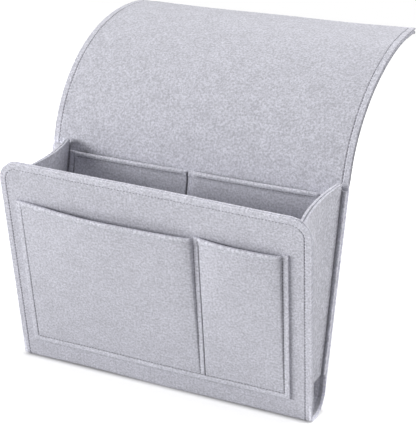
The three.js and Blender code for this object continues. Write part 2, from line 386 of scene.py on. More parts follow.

# %% [markdown]
# ## Cutting, folding and thickening one sheet
# A cloth simulation would let the felt sag, but pressed felt is stiff and keeps the form that it was sewn
# in. So each layer starts as a flat grid, whose lines lie close together along edges and seams and far
# apart elsewhere, and its points are moved to where the folded felt runs. Solidify gives it a back and a
# rim, whose points then take their exact depth, and a Bevel rounds the cut edges, which on felt are never
# sharp. Each point stores its painted light and shade, a painted highlight or painted shade. Last, the
# points near a row of stitches sink in, because the thread pulls the felt together there.


# %% Grid lines and points
def graded(start, end, busy, fine, coarse, rim=1.4 * MM):
    """Grid lines from start to end: fine apart near a busy line, and wider further away.

    The first and the last gap are as wide as the rim that the rounded edge needs.
    """
    busy = np.asarray(busy, float)
    first, last = start + rim, end - rim
    lines = [first]
    while lines[-1] < last:
        away = np.abs(busy - lines[-1]).min()
        lines.append(lines[-1] + min(coarse, max(fine, fine + 0.4 * (away - 3 * fine))))
    lines = np.array(lines)
    inner = first + (lines - first) * (last - first) / (lines[-1] - first)
    return np.concatenate([[start], inner, [end]])


def points_of(piece):
    points = np.empty(len(piece.data.vertices) * 3)
    piece.data.vertices.foreach_get("co", points)
    return points.reshape(-1, 3)


def move_points(piece, points):
    piece.data.vertices.foreach_set("co", np.ascontiguousarray(points, np.float32).ravel())
    piece.data.update()


def keep_flat(piece, flat):
    """Stores each point's place in the flat cut sheet on the mesh."""
    store = piece.data.attributes.get("flat")
    if store is None:
        store = piece.data.attributes.new("flat", "FLOAT_VECTOR", "POINT")
    store.data.foreach_set("vector", np.ascontiguousarray(flat, np.float32).ravel())


def flat_of(piece):
    flat = np.empty(len(piece.data.vertices) * 3, np.float32)
    piece.data.attributes["flat"].data.foreach_get("vector", flat)
    return flat.reshape(-1, 3).astype(float)


def apply_modifier(piece, kind, **settings):
    modifier = piece.modifiers.new(kind.title(), kind)
    for key, value in settings.items():
        setattr(modifier, key, value)
    bpy.context.view_layer.objects.active = piece
    bpy.ops.object.modifier_apply(modifier=modifier.name)


print("lines over 100 mm with a seam at 20 mm:", len(graded(0, 100 * MM, [20 * MM], 0.6 * MM, 7 * MM)))

# %% Steps that make a sheet
EDGE_ROUND = 1.25 * MM
SEEN_EDGE = 0.6
HIDDEN_PULL = 0.3
CUT_UNEVENNESS = 0.08 * MM
FINE_WOBBLE = 140
BROAD_WOBBLE = 45

# Without a seed of its own the noise would start at another place in each run.
WOBBLE_SEED = 1
noise.seed_set(WOBBLE_SEED)


def lay_grid(name, columns, rows, face, back):
    """A grid of columns and rows, moved onto the face and turned to look away from the back."""
    bpy.ops.object.select_all(action="DESELECT")
    bpy.ops.mesh.primitive_grid_add(x_subdivisions=columns - 1, y_subdivisions=rows - 1, size=1)
    piece = bpy.context.object
    piece.name = name
    piece.data.name = name
    move_points(piece, face)
    middle = piece.data.polygons[len(piece.data.polygons) // 2]
    outwards = Vector(face[middle.vertices[0]] - back[middle.vertices[0]])
    if middle.normal.dot(outwards) < 0:
        bpy.ops.object.mode_set(mode="EDIT")
        bpy.ops.mesh.select_all(action="SELECT")
        bpy.ops.mesh.flip_normals()
        bpy.ops.object.mode_set(mode="OBJECT")
    return piece


def round_rim(piece, rim, open_rim, hidden):
    """Rounds the rim's edges, most on a side that lies on another layer, but not ends that run on."""
    ends = np.empty(len(piece.data.edges) * 2, int)
    piece.data.edges.foreach_get("vertices", ends)
    ends = ends.reshape(-1, 2)
    same_face = (ends < len(rim)).sum(axis=1) != 1
    a, b = (ends % len(rim)).T
    cut = same_face & rim[a] & rim[b] & ~(open_rim[a] & open_rim[b])
    on_back = ends[:, 0] >= len(rim)
    share = np.where(on_back == (hidden == "back"), 1.0, SEEN_EDGE) if hidden else SEEN_EDGE
    weights = piece.data.attributes.new("bevel_weight_edge", "FLOAT", "EDGE")
    weights.data.foreach_set("value", (cut * share).astype(np.float32))
    apply_modifier(piece, "BEVEL", limit_method="WEIGHT", width=EDGE_ROUND, segments=2)


def store_painted_light(piece, wear):
    """Stores each point's painted light and shade: above 0 a painted highlight, below 0 painted shade."""
    flat = flat_of(piece)
    worn = piece.data.attributes.new("worn", "FLOAT", "POINT")
    worn.data.foreach_set("value", wear(flat[:, 0], flat[:, 1]).astype(np.float32))


def pull_seams(piece, seam, hidden):
    """Sinks the felt along its rows of stitches, and leaves the cut slightly uneven."""
    flat = flat_of(piece)
    normals = np.empty(len(flat) * 3)
    piece.data.vertex_normals.foreach_get("vector", normals)
    points = points_of(piece)
    seen = (flat[:, 2] < FELT / 2) != (hidden == "face")
    pull = seam(flat[:, 0], flat[:, 1]) * np.where(seen, 1, HIDDEN_PULL)
    points -= normals.reshape(-1, 3) * pull[:, None]
    wobble = [
        noise.noise_vector(Vector(p) * FINE_WOBBLE) + noise.noise_vector(Vector(p) * BROAD_WOBBLE)
        for p in points
    ]
    move_points(piece, points + CUT_UNEVENNESS * np.array(wobble))


print("cut edges are rounded over", round(EDGE_ROUND / MM, 2), "mm")

# %% One sheet of felt
SMOOTH_ANGLE = math.radians(60)


def felt_sheet(name, columns, rows, cut, lay, seam, wear, finish, hidden="", open_rows=()):
    """One layer of felt: cut gives a grid point's flat place, and lay that one's place in the caddy."""
    across, along = (grid.ravel() for grid in np.meshgrid(columns, rows))
    x, t = cut(across, along)
    face, back = lay(x, t, 0.0), lay(x, t, FELT)
    piece = lay_grid(name, len(columns), len(rows), face, back)
    keep_flat(piece, np.stack([x, t, np.zeros_like(x)], axis=1))
    apply_modifier(piece, "SOLIDIFY", thickness=FELT, offset=-1)
    move_points(piece, np.concatenate([face, back]))
    depth = np.repeat([0, FELT], len(x))
    keep_flat(piece, np.stack([np.tile(x, 2), np.tile(t, 2), depth], axis=1))
    rim = np.isin(across, columns[[0, -1]]) | np.isin(along, rows[[0, -1]])
    round_rim(piece, rim, np.isin(along, [rows[k] for k in open_rows]), hidden)
    store_painted_light(piece, wear)
    pull_seams(piece, seam, hidden)
    bpy.ops.object.shade_smooth_by_angle(angle=SMOOTH_ANGLE)
    piece.data.materials.append(finish)
    middle = ((face + back) / 2).reshape(len(rows), len(columns), 3)
    return piece, middle


print("felt is", round(FELT / MM, 1), "mm thick")

# %% [markdown]
# ## Outer wrap, lining and flap
# The two layers of the strip lie face to face. The sheet that forms the box also forms the first stretch
# of the flap, so that the fold at the crease is one unbroken bend. One sheet for the whole flap would be
# simpler, but a sheet can bend only between two bodies. The rest of the flap is cut across in the middle
# of each link, so every piece spans one hinge, and the last piece rides on the last link. The cuts don't
# show, because the pieces share their outline, thickness and pattern there. A row of stitches runs round
# the rim, 6.5 mm from the edge. Outside it the layers part a little, and round the bottom the lining's
# sides step down, which leaves a shaded hollow.
# The felt in that hollow is also painted darker, as painted shade.

# %% The strip's outline and seams
ROW_INSET = 6.5 * MM
SEAM_DEPTH = 0.65 * MM
SEAM_WIDTH = 0.5 * MM
SWELLING = 0.25
SWELLING_AWAY = 2.6
TOP_ROW_PULL = 0.75


def strip_cut(across, along):
    """The front panel's top corners are rounded, and the flap's a little, so the grid narrows there."""
    reach = HALF
    for radius, inset in ((CORNER, along), (END_CORNER, STRIP_END - along)):
        rise = np.clip(radius - inset, 0, radius)
        reach = reach - radius + np.sqrt(radius**2 - rise**2)
    return across * reach / HALF, along


def strip_inset(x, t):
    """How far a point lies inside the strip's outline."""
    side = HALF - np.abs(x)
    beyond_x = np.abs(x) - (HALF - CORNER)
    beyond_t = CORNER - t
    in_corner = (beyond_x > 0) & (beyond_t > 0)
    corner = CORNER - np.hypot(beyond_x, beyond_t)
    return np.where(in_corner, corner, np.minimum(np.minimum(side, t), STRIP_END - t))


def dent(away):
    """A seam's groove, with the felt swelling a little on both sides of it."""
    away = np.abs(away) / SEAM_WIDTH
    return SEAM_DEPTH * (np.exp(-(away**2)) - SWELLING * np.exp(-((away - SWELLING_AWAY) ** 2)))


def rim_seam(x, t):
    """The row along the front panel's top is drawn less tight than the ones down the sides."""
    along_top = (t < CORNER) & (np.abs(x) < HALF - CORNER / 2)
    return np.where(along_top, TOP_ROW_PULL, 1.0) * dent(strip_inset(x, t) - ROW_INSET)


side_row = rim_seam(np.array([HALF - ROW_INSET]), np.array([FRONT_END / 2]))[0]
print("the row down the side sinks in by", round(side_row / MM, 2), "mm")

# %% Where the strip gets painted highlights and painted shade
CUT_EDGE = 0.3 * MM
PAINTED_RIM_WIDTH = 2.3 * MM
BOTTOM_ZONE_FRONT = 20 * MM
BOTTOM_ZONE_FRONT_EASE = 10 * MM
BOTTOM_ZONE_BACK = 14 * MM
BOTTOM_ZONE_BACK_EASE = 8 * MM
BACK_CUT_EASE = 10 * MM
HOLLOW_WIDTH = 6 * MM
HOLLOW_TOP = 25 * MM
CREASE_HIGHLIGHT_REACH = 5 * MM
OUTER_LEFT = -143.7 * MM
OUTER_RIGHT = 138.7 * MM
OUTER_BOTTOM = 24 * MM
OUTER_MOUTH = 187.3 * MM
UNDER_POCKET = 4 * MM
OVER_MOUTH = 9 * MM
POCKET_EDGE = 4 * MM
POCKET_EASE = 25 * MM

# Painted light and shade: above 0 a painted highlight makes the felt paler, below 0 painted shade darker.
# The cut edges, sewn rims and the crease's ends get painted highlights; the flap's cut sides, the felt
# round the outer pocket and the hollow get painted shade.
strip_tones = {
    "top_cut": 1.0, "front_cut": 0.9, "back_cut": 2.3, "flap_cut": -1.6,
    "sewn_rim": 0.4, "bottom_rim": 2.4, "behind_pocket": -0.45, "under_pocket": -0.5,
    "hollow": -1.5, "crease_roll": 1.4,
}


def between(first, second, share):
    """A tone between two named ones."""
    return np.interp(share, [0, 1], [strip_tones[first], strip_tones[second]])


def round_bottom(t):
    """1 where the strip turns under the caddy and up again, easing to 0 on the panels."""
    from_front = smooth((t - FRONT_END + BOTTOM_ZONE_FRONT) / BOTTOM_ZONE_FRONT_EASE)
    to_back = smooth((BACK_START + BOTTOM_ZONE_BACK - t) / BOTTOM_ZONE_BACK_EASE)
    return from_front * to_back


def pocket_shade(x, t):
    """Painted shade behind the outer pocket, fading above its mouth; painted shadow under its bottom edge.
    """
    up = FRONT_LENGTH - t
    aside = np.minimum(x - OUTER_LEFT, OUTER_RIGHT - x)
    inside = smooth((aside - POCKET_EDGE) / POCKET_EASE)
    shade = strip_tones["behind_pocket"] * (1 - smooth((up - OUTER_MOUTH) / OVER_MOUTH)) * inside
    shade = np.where((up < OUTER_BOTTOM) & (aside > 0), strip_tones["under_pocket"], shade)
    return shade * (up > OUTER_BOTTOM - UNDER_POCKET)


pocket_middle = pocket_shade(np.array([0.0]), np.array([FRONT_LENGTH / 2]))[0]
print("tone behind the middle of the outer pocket:", round(pocket_middle, 2))


# %% Painted light and shade of the strip's two layers
def strip_painted_light(x, t):
    """Painted highlights along the front panel's top edge, the bottom edges and the strip outside the
    rows.

    The flap's cut sides get painted shade, and so does the felt round the outer pocket.
    """
    inset = strip_inset(x, t)
    side_cut = between("front_cut", "back_cut", smooth((t - FRONT_END) / BACK_CUT_EASE))
    cut = np.where(t < CREASE_T, side_cut, strip_tones["flap_cut"])
    cut = np.where(t < CORNER, strip_tones["top_cut"], cut)
    rubbed = between("sewn_rim", "bottom_rim", round_bottom(t))
    return np.select(
        [inset < CUT_EDGE, inset < PAINTED_RIM_WIDTH, inset < ROW_INSET],
        [cut, rubbed, strip_tones["sewn_rim"]],
        pocket_shade(x, t),
    )


def lining_painted_light(x, t):
    """As the strip's, with painted shade in the gussets' hollow and a painted highlight at the crease's
    ends.
    """
    aside = HALF - np.abs(x)
    along_hollow = (t > FRONT_END) & (t < BACK_START + HOLLOW_TOP)
    in_hollow = along_hollow & (aside > PAINTED_RIM_WIDTH) & (aside < HOLLOW_WIDTH)
    # The crease's ends lie in the shadow of the gussets' tops; a painted highlight lifts that shadow.
    crease_highlight = (np.abs(t - CREASE_T + MM) < CREASE_HIGHLIGHT_REACH) & (aside < ROLL_LENGTH)
    return np.select(
        [in_hollow, crease_highlight],
        [strip_tones["hollow"], strip_tones["crease_roll"]],
        strip_painted_light(x, t),
    )


edge_tones = strip_painted_light(np.full(2, HALF), np.array([BOTTOM_END, STRIP_END - CORNER]))
print("tones of the cut edge at the bottom and on the flap:", edge_tones.round(1))

# %% The strip's two layers and their grid
PARTING = 0.2
PARTING_RIM = 4 * MM
TIP_FLUFF = 1.5 * MM
LINING_SHORT = 8.7 * MM
LINING_STEP = 1.7 * MM
LINING_STEP_EASE = 0.8 * MM
FINE = 0.6 * MM
COARSE = 7 * MM


def parting(inset):
    """Within the last few millimetres of a cut edge the two layers part a little."""
    return 1 - PARTING * smooth(1 - inset / PARTING_RIM)


def fluffed_tip(x, t):
    """Towards its end the flap's under layer fluffs up, most at the right corner."""
    to_end = smooth((t - STRIP_END) / (2 * ROW_INSET) + 1)
    return TIP_FLUFF * to_end * np.clip(x / HALF, 0, 1) ** 4


def outer_layer(x, t, sink):
    fluff = fluffed_tip(x, t) * (1 - sink / FELT)
    return strip_point(x, t, sink * parting(strip_inset(x, t)) - fluff)


def lining_end(x, t):
    """Round the bottom the lining's sides stop short of the wrap's, so it steps down there."""
    aside = smooth((np.abs(x) - HALF + LINING_SHORT) / LINING_STEP_EASE)
    return LINING_STEP * aside * round_bottom(t)


def lining_layer(x, t, sink):
    thickness = FELT * parting(strip_inset(x, t))
    return strip_point(x, t, WALL - thickness + sink / FELT * (thickness - lining_end(x, t)))


edge_lines = np.array([0, ROW_INSET, LINING_SHORT])
strip_columns = graded(-HALF, HALF, [*(edge_lines - HALF), *(HALF - edge_lines)], FINE, COARSE)
folds = np.linspace(FRONT_END, BACK_START, 24)
box_busy = [0, ROW_INSET, ROW_INSET * 1.5, CORNER / 2, CORNER, *folds, CREASE_T, CREASE_T + 6 * MM]
pocket_bottom = FRONT_LENGTH - OUTER_BOTTOM
box_busy += [pocket_bottom, pocket_bottom + UNDER_POCKET, FRONT_LENGTH - OUTER_MOUTH]
box_rows = graded(0, CREASE_T + LINK / 2, box_busy, FINE, COARSE)
print("grid of the box sheets:", len(strip_columns), "x", len(box_rows))


def bend_at_crease(piece):
    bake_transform(piece)


layers = {
    "outer": {
        "lay": outer_layer, "wear": strip_painted_light, "finish": outer_felt, "slot": "outer_felt",
        "hidden": "back", "box_node": "outer_wrap", "flap_node": "flap_under",
    },
    "lining": {
        "lay": lining_layer, "wear": lining_painted_light, "finish": lining_felt, "slot": "lining_felt",
        "hidden": "face", "box_node": "box_lining", "flap_node": "flap_top",
    },
}


def strip_sheet(name, layer, rows, open_rows):
    """A length of one of the strip's layers. Its open rows run on into the next sheet."""
    return felt_sheet(
        name, strip_columns, rows, strip_cut, layer["lay"], rim_seam, layer["wear"], layer["finish"],
        layer["hidden"], open_rows,
    )


for label, layer in layers.items():
    sheet, middle = strip_sheet(f"{label}_strip", layer, box_rows, [-1])
    bend_at_crease(sheet)
    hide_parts(layer["box_node"])


def follow_flap(piece, link):
    """Bakes a piece where it lies. The last piece rides on the last link."""
    if link == FLAP_LINKS:
        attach(piece, f"flap_{link}")
        return
    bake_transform(piece)


for link in range(1, FLAP_LINKS + 1):
    start = CREASE_T + (link - 0.5) * LINK
    end = min(start + LINK, STRIP_END)
    open_rows = [0] if link == FLAP_LINKS else [0, -1]
    rows = graded(start, end, [STRIP_END, STRIP_END - ROW_INSET], FINE, COARSE / 2)
    for label, layer in layers.items():
        sheet, middle = strip_sheet(f"flap_{label}_{link}", layer, rows, open_rows)
        follow_flap(sheet, link)
        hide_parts(f"{layer['flap_node']}_{link}")

# %% [markdown]
# ## Gussets
# A gusset is a folded side wall of two layers. Its front and rear edges turn outwards and are sewn flat
# against the front and back panels, and its middle bows inwards a little, more on the left than on the
# right. Extruding one section would be quick, but the section shrinks downwards, and top and bottom edge
# slant from the front panel to the higher back panel. So each point is worked out on its own, along five
# stretches: flange, bend, wall, bend, flange. The fold by the rear flange gets painted shade, and its rim
# a painted highlight.

# %% Gusset sizes
PANEL_CLEARANCE = WALL + 0.1 * MM
BEND = 6 * MM
WALL_CLEARANCE = PANEL_CLEARANCE + BEND
FLANGE_EDGE_X = HALF - 0.5 * MM
FRONT_FLANGE_X = HALF - 9 * MM
FRONT_BOTTOM = 24 * MM
REAR_BOTTOM = 39 * MM
SETBACK = 6 * MM
REAR_TOP = CREASE_HEIGHT + 5 * MM
FLANGE_TOP = CREASE_HEIGHT - 1.6 * MM
FLANGE_EDGE_TOP = CREASE_HEIGHT - 2.5 * MM

gusset_forms = {
    "left": {"side": -1, "top": 15.2 * MM, "low": 10.8 * MM, "bow": 7.5 * MM},
    "right": {"side": 1, "top": 3.9 * MM, "low": 2.7 * MM, "bow": 4 * MM},
}


def front_y(height, depth):
    return depth / math.cos(LEAN) - height * math.tan(LEAN) - BASE_DEPTH


def front_flange_top(x):
    run = np.clip(x - (HALF - CORNER), 0, CORNER)
    return (FRONT_LENGTH - CORNER + np.sqrt(CORNER**2 - run**2) - SETBACK) * math.cos(LEAN)


def wall_run(height):
    return -WALL_CLEARANCE - front_y(height, WALL_CLEARANCE)


runs = [round(wall_run(height) / MM, 1) for height in (REAR_BOTTOM, CREASE_HEIGHT)]
print("the wall between the bends runs, at the bottom and at the crease, mm:", runs)

# %% A point of a gusset
LAST_PLACE = 4.999
NEAR_BACK = 30 * MM
NEAR_BACK_EASE = 15 * MM


def gusset_point(form, place, rise, offset):
    """place runs from 0 to 5 over the five stretches, rise from 0 to 1, offset from inside to outside."""
    bend = BEND - offset
    part = np.minimum(place, LAST_PLACE).astype(int)
    share = place - part
    angle = math.pi / 2 * share
    front_x = np.where(part == 0, FLANGE_EDGE_X + (FRONT_FLANGE_X - FLANGE_EDGE_X) * share,
                       FRONT_FLANGE_X - bend * np.sin(angle))
    front_top = front_flange_top(FRONT_FLANGE_X - bend)
    is_front, is_wall = part < 2, part == 2
    slant = FRONT_BOTTOM + (REAR_BOTTOM - FRONT_BOTTOM) * share
    bottom = np.select([is_front, is_wall], [FRONT_BOTTOM, slant], REAR_BOTTOM)
    top = np.select(
        [is_front, is_wall, part == 3],
        [front_flange_top(front_x), front_top + (REAR_TOP - front_top) * share,
         REAR_TOP + (FLANGE_TOP - REAR_TOP) * share],
        FLANGE_TOP + (FLANGE_EDGE_TOP - FLANGE_TOP) * share,
    )
    height = bottom + (top - bottom) * rise
    climb = (height - REAR_BOTTOM) / (CREASE_HEIGHT - REAR_BOTTOM)
    rear_x = HALF - form["low"] - (form["top"] - form["low"]) * climb
    sag = form["bow"] * 4 * share * (1 - share) * wall_run(height) / wall_run(front_top)
    wall_x = (FRONT_FLANGE_X - bend) * (1 - share) + (rear_x - bend) * share - sag
    x = np.select([is_front, is_wall, part == 3], [front_x, wall_x, rear_x - bend * np.cos(angle)],
                  rear_x + (FLANGE_EDGE_X - rear_x) * share)
    flange_depth = PANEL_CLEARANCE + offset
    front_depth = np.where(part == 0, flange_depth, WALL_CLEARANCE - bend * np.cos(angle))
    front_depth = front_depth * pressed(x, FRONT_SQUEEZE)
    wall_y = front_y(height, WALL_CLEARANCE) * (1 - share) - WALL_CLEARANCE * share
    rear_bend_y = bend * np.sin(angle) - WALL_CLEARANCE
    y = np.select([is_front, is_wall, part == 3],
                  [front_y(height, front_depth), wall_y, rear_bend_y], -flange_depth)
    near_back = np.clip((y + NEAR_BACK) / NEAR_BACK_EASE, 0, 1)
    y *= 1 - (1 - pressed(x, BACK_SQUEEZE)) * near_back
    return np.stack([form["side"] * x, y, FLOOR_Z + height], axis=1)


def gusset_face(form, layer):
    """The lining shows its inner side, and the outer felt its outer side."""
    def face(place, rise, sink):
        under = sink * parting((1 - rise) * (CREASE_HEIGHT - REAR_BOTTOM))
        return gusset_point(form, place, rise, under if layer == "lining" else WALL - under)

    return face


for label, form in gusset_forms.items():
    top_middle = gusset_face(form, "lining")(np.array([2.5]), np.array([1.0]), np.array([0.0]))[0]
    print(label, "gusset: middle of the top edge at", (top_middle / MM).round(1), "mm")

# %% Gusset sheets
FOLD_DEPTH = 1.9 * MM
FOLD_PLACE = 3.6
FOLD_WIDTH = 0.45
SHADE_START = 3.1
SHADE_END = 3.95
CUT_RISE = 0.006
FLANGE_RIM = 1.2 * MM
GUSSET_PATTERN = [1, 1, 0.85]
FLANGE_ROW = (FLANGE_EDGE_X - HALF + ROW_INSET) / (FLANGE_EDGE_X - FRONT_FLANGE_X)


def lining_seam(place, rise):
    return dent((place - FLANGE_ROW) * (FLANGE_EDGE_X - FRONT_FLANGE_X))


def outer_seam(place, rise):
    """On the outside the felt also sinks into the fold between the wall and its rear flange."""
    return lining_seam(place, rise) + FOLD_DEPTH * np.exp(-(((place - FOLD_PLACE) / FOLD_WIDTH) ** 2))


def gusset_painted_light(form):
    """Painted highlights on the top edge and flange rim; painted shade on the bottom edge and rear fold.
    """
    def wear(place, rise):
        wall = place < SHADE_START
        at_rim = (5 - place) * form["top"] < FLANGE_RIM
        # Below 0 painted shade, above 0 a painted highlight; the rest of the rear flange gets a little
        # painted shade.
        tones = [
            (rise < CUT_RISE, -1.6),
            (wall & (rise > 0.999), 1.0),
            (wall, 0.0),
            (place < SHADE_END, -1.4),
            (at_rim, 1.3),
        ]
        return np.select(*zip(*tones), default=-0.5)

    return wear


def as_drawn(across, along):
    return across, along


gusset_columns = np.concatenate([
    [0], np.linspace(0.18, 1, 8)[:-1], np.linspace(1, 2, 8)[:-1], np.linspace(2, 3, 20)[:-1],
    np.linspace(3, 4, 8)[:-1], np.linspace(4, 4.7, 5), [5],
])
gusset_rows = graded(0, 1, [0, 1], CUT_RISE, 0.03, rim=0.008)
for label, form in gusset_forms.items():
    for layer, seam, finish in (("lining", lining_seam, lining_felt), ("outer", outer_seam, outer_felt)):
        sheet, middle = felt_sheet(
            f"{label}_gusset_{layer}_felt", gusset_columns, gusset_rows, as_drawn,
            gusset_face(form, layer), seam, gusset_painted_light(form), finish, "back",
        )
        keep_flat(sheet, points_of(sheet) * GUSSET_PATTERN)
        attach(sheet, "box")
        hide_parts(f"{label}_gusset_{layer}")

# %% [markdown]
# ## Pockets
# Each pocket strip is sewn flat along its sides, its bottom and a narrow band, and is cut a little wider
# than the panel between those rows. The spare width stands off as two pouches that open towards the
# mouth. Cloth could be blown up there, but then the sewn rows would shift. Here a sine across each pouch
# gives the bulge. A power makes each of its ends steep or gentle, and it grows evenly from the bottom row
# to the mouth. The mouth's edge is turned over into a hem, which is thicker and rounded on top.

# %% Pocket sizes
BAND = 6 * MM
MOUTH_GAP = 1.1 * MM
HEM = 7 * MM
HEM_THICKNESS = 1.5 * MM
HEM_ROUND = 2 * MM
GAP_STEEPNESS = 0.12

# Each pocket's mouth edge gets a painted highlight of the listed strength.
pockets = {
    "outer_pocket": {
        "left": OUTER_LEFT, "right": OUTER_RIGHT, "bottom": OUTER_BOTTOM, "mouth": OUTER_MOUTH,
        "band": 48.3 * MM, "inset": 5.8 * MM,
        "bulges": (8.2 * MM, 4.8 * MM), "steepness": ((1.3, 0.2), (0.8, 0.2)),
        "pull": {"band_left": 1.0, "band_right": 1.4, "mouth": 0.7}, "rubbed": 0.9,
        "finish": outer_felt, "slot": "outer_felt",
        "mouth_nodes": ("large_mouth_thread", "small_mouth_thread"),
    },
    "inner_pocket": {
        "left": -139 * MM, "right": 140 * MM, "bottom": 62 * MM, "mouth": CREASE_HEIGHT - 7.4 * MM,
        "band": -1.4 * MM, "inset": 6.5 * MM, "bulges": (2.4 * MM, 3.5 * MM),
        "steepness": ((0.2, 0.8), (0.4, 0.5)), "rubbed": 1.4,
        "pull": {"left": 2.6, "band_left": 2.0, "band_right": 0.2, "mouth": 1.15},
        "finish": lining_felt, "slot": "lining_felt",
        "mouth_nodes": ("inner_left_mouth_thread", "inner_right_mouth_thread"),
    },
}
for name, pocket in pockets.items():
    print(name, "is", round((pocket["mouth"] - pocket["bottom"]) / MM, 1), "mm high")


# %% How far a pocket stands off
def pouches(pocket):
    """Left end, right end and depth of a pocket strip's two pouches."""
    left, right = pocket["left"] + pocket["inset"], pocket["right"] - pocket["inset"]
    band_left, band_right = pocket["band"] - BAND / 2, pocket["band"] + BAND / 2
    return (left, band_left, pocket["bulges"][0]), (band_right, right, pocket["bulges"][1])


def slack(pocket, x, up):
    """How far the pouches stand off the panel."""
    low = pocket["bottom"] + pocket["inset"]
    rise = np.clip((up - low) / (pocket["mouth"] - low), 0, 1)
    total = np.zeros_like(x)
    for (left, right, depth), ends in zip(pouches(pocket), pocket["steepness"]):
        share = np.clip((x - left) / (right - left), 0, 1)
        power = np.where(share < 0.5, *ends)
        across = np.sin(math.pi * share)
        total += (depth * across**power + MOUTH_GAP * across**GAP_STEEPNESS) * rise
    return total


def hem(pocket, x, up):
    """The mouth's edge is turned over, so the felt is thicker there, least at the sewn sides."""
    into = smooth((up - pocket["mouth"] + HEM) / HEM_ROUND)
    over = np.clip((up - pocket["mouth"] + HEM_ROUND) / HEM_ROUND, 0, 1)
    aside = np.minimum(x - pocket["left"], pocket["right"] - x)
    thickness = HEM_THICKNESS * np.clip(aside / pocket["inset"] - 0.3, 0.2, 1)
    return thickness * into * np.sqrt(1 - over**2)


def standing_off(pocket, x, up, sink):
    """How far a point of a pocket's felt lies from the panel that it is sewn to."""
    return LAYER + slack(pocket, x, up) - sink + hem(pocket, x, up) * (1 - sink / FELT)


def pocket_face(name):
    """Where a pocket's felt lies: in front of the front panel, or in front of the back panel."""
    pocket = pockets[name]
    if name == "outer_pocket":
        return lambda x, up, sink: strip_point(x, FRONT_LENGTH - up, -standing_off(pocket, x, up, sink))
    rest = CREASE_T - CREASE_HEIGHT
    return lambda x, up, sink: strip_point(x, rest + up, WALL + standing_off(pocket, x, up, sink))


for name, pocket in pockets.items():
    widths = [round((right - left) / MM) for left, right, _ in pouches(pocket)]
    print(name, "pouches are", widths[0], "and", widths[1], "mm wide")

# %% Rows of stitches on a pocket
MOUTH_ROW = 4.5 * MM
ROW_END = 2 * MM
ROW_SHIFT = 0.4 * MM


def pocket_rows(pocket):
    """The rows as straight paths over the flat strip, named for where they run."""
    (left, band_left, _), (band_right, right, _) = pouches(pocket)
    low, high = pocket["bottom"] + pocket["inset"] - ROW_SHIFT, pocket["mouth"] - ROW_END
    mouth = pocket["mouth"] - MOUTH_ROW
    upright = {
        "left": left - ROW_SHIFT, "right": right + ROW_SHIFT,
        "band_left": band_left + ROW_SHIFT, "band_right": band_right - ROW_SHIFT,
    }
    rows = {name: [(x, low), (x, high)] for name, x in upright.items()}
    rows["bottom"] = [(left, low), (right, low)]
    rows["left_mouth"] = [(left + MOUTH_ROW, mouth), (band_left - MOUTH_ROW, mouth)]
    rows["right_mouth"] = [(band_right + MOUTH_ROW, mouth), (right - MOUTH_ROW, mouth)]
    return rows


def rows_with_pull(pocket):
    """Each row's ends, and how tightly its thread is drawn."""
    for name, ends in pocket_rows(pocket).items():
        usual = pocket["pull"]["mouth"] if "mouth" in name else 1.0
        yield *ends, pocket["pull"].get(name, usual)


def away_from(start, end, x, up):
    """How far a point of the flat strip lies from a row."""
    return np.hypot(x - np.clip(x, start[0], end[0]), up - np.clip(up, start[1], end[1]))


print("rows on a pocket:", ", ".join(pocket_rows(pockets["outer_pocket"])))

# %% Grooves and wear of a pocket
# Painted shade darkens the felt along the deepest rows, and a painted highlight lightens the sewn strips.
CREASE_WIDTH = 0.65 * MM
LOOSE_PULL = 0.9
DEEP_PULL = 1.3
CREASE_SHADE = -1.8
SEWN_STRIP_HIGHLIGHT = 0.6


def pocket_seam(pocket):
    """How deep each point of a pocket's felt is drawn in by its rows."""
    def seam(x, up):
        total = np.zeros_like(x)
        for start, end, pull in rows_with_pull(pocket):
            groove = np.exp(-((away_from(start, end, x, up) / SEAM_WIDTH) ** 2))
            total = np.maximum(total, pull * SEAM_DEPTH * groove)
        return total

    return seam


def pocket_painted_light(pocket):
    """Painted highlights at the mouth's edge and, less, on sewn strips; painted shade in a deep crease."""
    def wear(x, up):
        aside = np.minimum(np.minimum(x - pocket["left"], pocket["right"] - x), up - pocket["bottom"])
        sewn = (aside < pocket["inset"]) | (np.abs(x - pocket["band"]) < BAND / 2)
        below = pocket["mouth"] - up
        shade = np.zeros_like(x)
        for start, end, pull in rows_with_pull(pocket):
            dark = np.interp(pull, [LOOSE_PULL, DEEP_PULL], [0, CREASE_SHADE])
            shade = np.where(away_from(start, end, x, up) < CREASE_WIDTH, np.minimum(shade, dark), shade)
        return np.select(
            [below < CUT_EDGE, below < HEM_ROUND, shade < 0, sewn],
            [pocket["rubbed"], 0.5 * pocket["rubbed"], shade, SEWN_STRIP_HIGHLIGHT],
            0.0,
        )

    return wear


outer_pocket = pockets["outer_pocket"]
row_start = np.array(pocket_rows(outer_pocket)["band_right"][0])
row_groove = pocket_seam(outer_pocket)(row_start[:1], row_start[1:])[0]
print("the row on the right of the band sinks in by", round(row_groove / MM, 2), "mm")

# %% Pocket sheets
PATTERN_SHIFT = [0.7, 0.4, 0]

for name, pocket in pockets.items():
    rows = pocket_rows(pocket)
    upright = [rows[key][0][0] for key in ("left", "band_left", "band_right", "right")]
    across = [pocket["left"], *upright, pocket["right"]]
    columns = graded(across[0], across[-1], across, FINE, 5 * MM)
    levels = [rows["bottom"][0][1], rows["left_mouth"][0][1], pocket["mouth"] - HEM]
    upwards = [pocket["bottom"], *levels, pocket["mouth"]]
    heights = graded(upwards[0], upwards[-1], upwards, FINE, 6 * MM)
    sheet, middle = felt_sheet(
        f"{name}_felt", columns, heights, as_drawn, pocket_face(name), pocket_seam(pocket),
        pocket_painted_light(pocket), pocket["finish"],
    )
    keep_flat(sheet, flat_of(sheet) + PATTERN_SHIFT)
    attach(sheet, "box")
    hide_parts(name)

# %% [markdown]
# ## Stitches
# The seams are lockstitched in grey thread. One stitch is modelled: a short cylinder with narrowed ends
# that dip into the felt. It is then copied along each row, about three to the centimetre, and laid in
# the seam's groove, so that the rows show as fine dashes.

